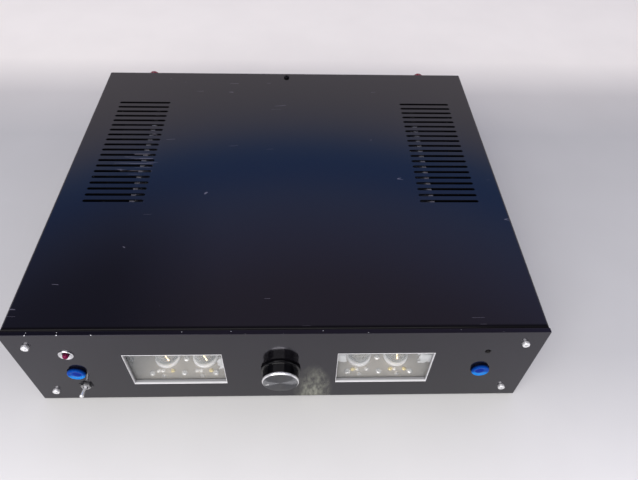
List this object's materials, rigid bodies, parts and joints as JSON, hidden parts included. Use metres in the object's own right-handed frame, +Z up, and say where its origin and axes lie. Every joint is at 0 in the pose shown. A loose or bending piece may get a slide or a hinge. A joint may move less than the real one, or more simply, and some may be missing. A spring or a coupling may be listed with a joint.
{
  "type": "stereo amplifier",
  "caption": "Hybrid stereo amplifier: black case with vents, glossy panel with windows onto valves, volume knob, toggle, clear blue buttons, and speaker posts at the back.",
  "frame": {"origin": "middle of the footprint on the table, under the centre of the whole bounding box", "axes": "+X to the right as the user faces the front panel, +Y from the front panel to the back, +Z up"},
  "size_m": [0.43, 0.411, 0.1089],
  "materials": {
    "panel_lacquer": "aluminium plate, glossy black lacquer, bare cut edges at the windows",
    "cover_powder": "black semi-gloss powder coat",
    "tray_steel": "black powder coat",
    "chrome": "polished chrome plate",
    "black_screw": "blackened steel",
    "zinc_screw": "bright zinc plate",
    "foot_rubber": "matte black rubber",
    "clear_pane": "clear polished pane",
    "knob_plastic": "black satin plastic",
    "knob_aluminium": "dark anodised, turned face with a bright bevel",
    "steel": "plain turned steel",
    "pot_case": "pressed steel",
    "switch_black": "moulded black plastic",
    "lamp_red": "clear red epoxy",
    "button_blue": "clear blue plastic",
    "sensor_dark": "dark infrared window",
    "circuit_board": "green solder mask",
    "shelf_metal": "plain folded sheet, mill finish",
    "core_steel": "varnished steel laminations",
    "strap_steel": "zinc-plated steel strip",
    "ceramic_white": "off-white glazed ceramic",
    "valve_glass": "clear blown glass",
    "anode_grey": "grey carbonised nickel",
    "mica": "thin mica",
    "heater": "glowing orange heater leads",
    "tin": "tinned brass",
    "sink_aluminium": "black anodised extrusion",
    "transistor_black": "moulded epoxy",
    "capacitor_sleeve": "shrunk plastic sleeve",
    "brass_spacer": "nickel-free brass",
    "winding_tape": "yellow tape over copper windings",
    "post_red": "clear red plastic",
    "post_black": "black plastic",
    "gold_plate": "gold plate",
    "collar_black": "black plastic"
  },
  "bodies": {
    "case": {"amp_board_left": "circuit_board", "amp_board_right": "circuit_board", "board_spacers": "brass_spacer", "button_boards": "circuit_board", "button_switch_left": "switch_black", "button_switch_right": "switch_black", "chassis_tray": "tray_steel", "cover_rear_screw": "black_screw", "filter_capacitors": "capacitor_sleeve", "floor_screws": "zinc_screw", "front_panel": "panel_lacquer", "heatsink_left": "sink_aluminium", "heatsink_right": "sink_aluminium", "inlet_pins": "gold_plate", "ir_sensor": "sensor_dark", "led_bezel": "chrome", "led_lens": "lamp_red", "mains_inlet": "collar_black", "panel_screws": "chrome", "post_plates": "collar_black", "post_studs": "gold_plate", "pot_nut": "steel", "power_board": "circuit_board", "rca_cores": "collar_black", "rca_plate": "collar_black", "rca_shells": "gold_plate", "rear_panel": "tray_steel", "rubber_feet": "foot_rubber", "shelf_screws": "zinc_screw", "side_screws": "black_screw", "tag_pins": "tin", "toggle_body": "switch_black", "toggle_bushing": "chrome", "toggle_nut": "chrome", "toggle_washer": "zinc_screw", "top_cover": "cover_powder", "transformer_core": "core_steel", "transformer_strap": "strap_steel", "transformer_winding": "winding_tape", "transistors": "transistor_black", "tube_bulbs": "valve_glass", "tube_heaters": "heater", "tube_micas": "mica", "tube_plates": "anode_grey", "tube_shelf": "shelf_metal", "tube_sockets": "ceramic_white", "valve_boards": "circuit_board", "volume_pot": "pot_case", "window_pane_left": "clear_pane", "window_pane_right": "clear_pane"},
    "volume": {"volume_knob": "knob_plastic", "knob_cap": "knob_aluminium", "pot_shaft": "steel"},
    "toggle": {"toggle_lever": "chrome"},
    "button_left": {"button_cap_left": "button_blue"},
    "button_right": {"button_cap_right": "button_blue"},
    "post_red_left": {"post_cap_red_left": "post_red"},
    "post_red_right": {"post_cap_red_right": "post_red"},
    "post_black_left": {"post_cap_black_left": "post_black"},
    "post_black_right": {"post_cap_black_right": "post_black"}
  },
  "joints": [
    {"name": "volume_turn", "type": "hinge", "parent": "case", "child": "volume", "pos_m": [0, -0.1925, 0.0515], "axis": [0, 1, 0], "range_deg": [-45, 255]},
    {"name": "toggle_flip", "type": "hinge", "parent": "case", "child": "toggle", "pos_m": [-0.1703, -0.1915, 0.027], "axis": [-0.6018, 0, 0.7986], "range_deg": [0, 26]},
    {"name": "button_left_press", "type": "slide", "parent": "case", "child": "button_left", "axis": [0, 1, 0], "range_m": [0, 0.0015], "stiffness_N_per_m": 600, "springref_m": -0.001},
    {"name": "button_right_press", "type": "slide", "parent": "case", "child": "button_right", "axis": [0, 1, 0], "range_m": [0, 0.0015], "stiffness_N_per_m": 600, "springref_m": -0.001},
    {"name": "post_red_left_unscrew", "type": "hinge", "parent": "case", "child": "post_red_left", "pos_m": [-0.169, 0.19475, 0.0885], "axis": [0, 1, 0], "range_deg": [0, 1800]},
    {"name": "post_red_right_unscrew", "type": "hinge", "parent": "case", "child": "post_red_right", "pos_m": [0.169, 0.19475, 0.0885], "axis": [0, 1, 0], "range_deg": [0, 1800]},
    {"name": "post_black_left_unscrew", "type": "hinge", "parent": "case", "child": "post_black_left", "pos_m": [-0.169, 0.19475, 0.0665], "axis": [0, 1, 0], "range_deg": [0, 1800]},
    {"name": "post_black_right_unscrew", "type": "hinge", "parent": "case", "child": "post_black_right", "pos_m": [0.169, 0.19475, 0.0665], "axis": [0, 1, 0], "range_deg": [0, 1800]}
  ]
}
